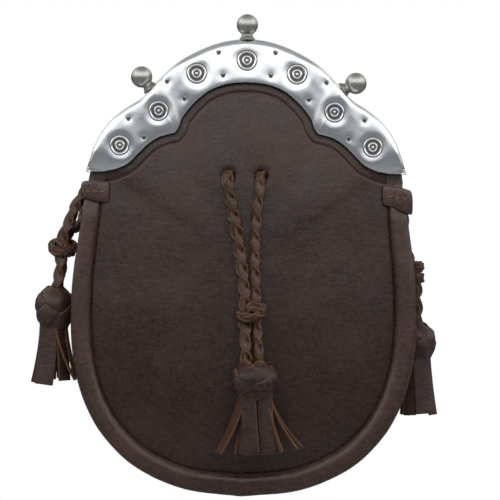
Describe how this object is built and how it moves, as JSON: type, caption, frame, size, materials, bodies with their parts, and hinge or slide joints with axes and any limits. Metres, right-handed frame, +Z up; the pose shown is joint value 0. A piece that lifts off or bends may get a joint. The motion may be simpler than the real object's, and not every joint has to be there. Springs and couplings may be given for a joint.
{
  "type": "sporran pouch",
  "caption": "Rounded leather sporran pouch with a scalloped cast metal cantle, ball finials, a padded rim roll and braided leather thongs that end in tassels.",
  "frame": {"origin": "on the outer face of the back panel, midway between the two loops for the waist strap", "axes": "+Z up as worn, +Y out of the back towards the wearer, -Y out of the front, +X to the right of someone who looks at the front"},
  "size_m": [0.201, 0.0655, 0.24],
  "materials": {
    "leather": "dark brown smooth leather, semi-matt",
    "braid_leather": "brown cut leather strips, matt",
    "polished_metal": "polished cast metal, slightly hammered",
    "dark_metal": "dull grey plated metal"
  },
  "bodies": {
    "root": {"front_panel": "leather", "gusset": "leather", "back_panel": "leather", "back_flap": "leather", "edge_roll": "leather", "keeper_left": "leather", "keeper_right": "leather", "strap_loop_left": "leather", "strap_loop_right": "leather", "cantle": "polished_metal", "finial_left": "dark_metal", "finial_top": "dark_metal", "finial_right": "dark_metal", "flap_stud": "dark_metal", "front_thong_loop": "braid_leather", "front_thong_tail_a": "braid_leather", "front_thong_tail_b": "braid_leather", "front_knot": "braid_leather", "front_tassel": "braid_leather", "left_thong_loop": "braid_leather", "left_thong_tail_a": "braid_leather", "left_thong_tail_b": "braid_leather", "left_knot": "braid_leather", "left_tassel": "braid_leather", "right_thong_loop": "braid_leather", "right_thong_tail_a": "braid_leather", "right_thong_tail_b": "braid_leather", "right_knot": "braid_leather", "right_tassel": "braid_leather"}
  },
  "joints": []
}
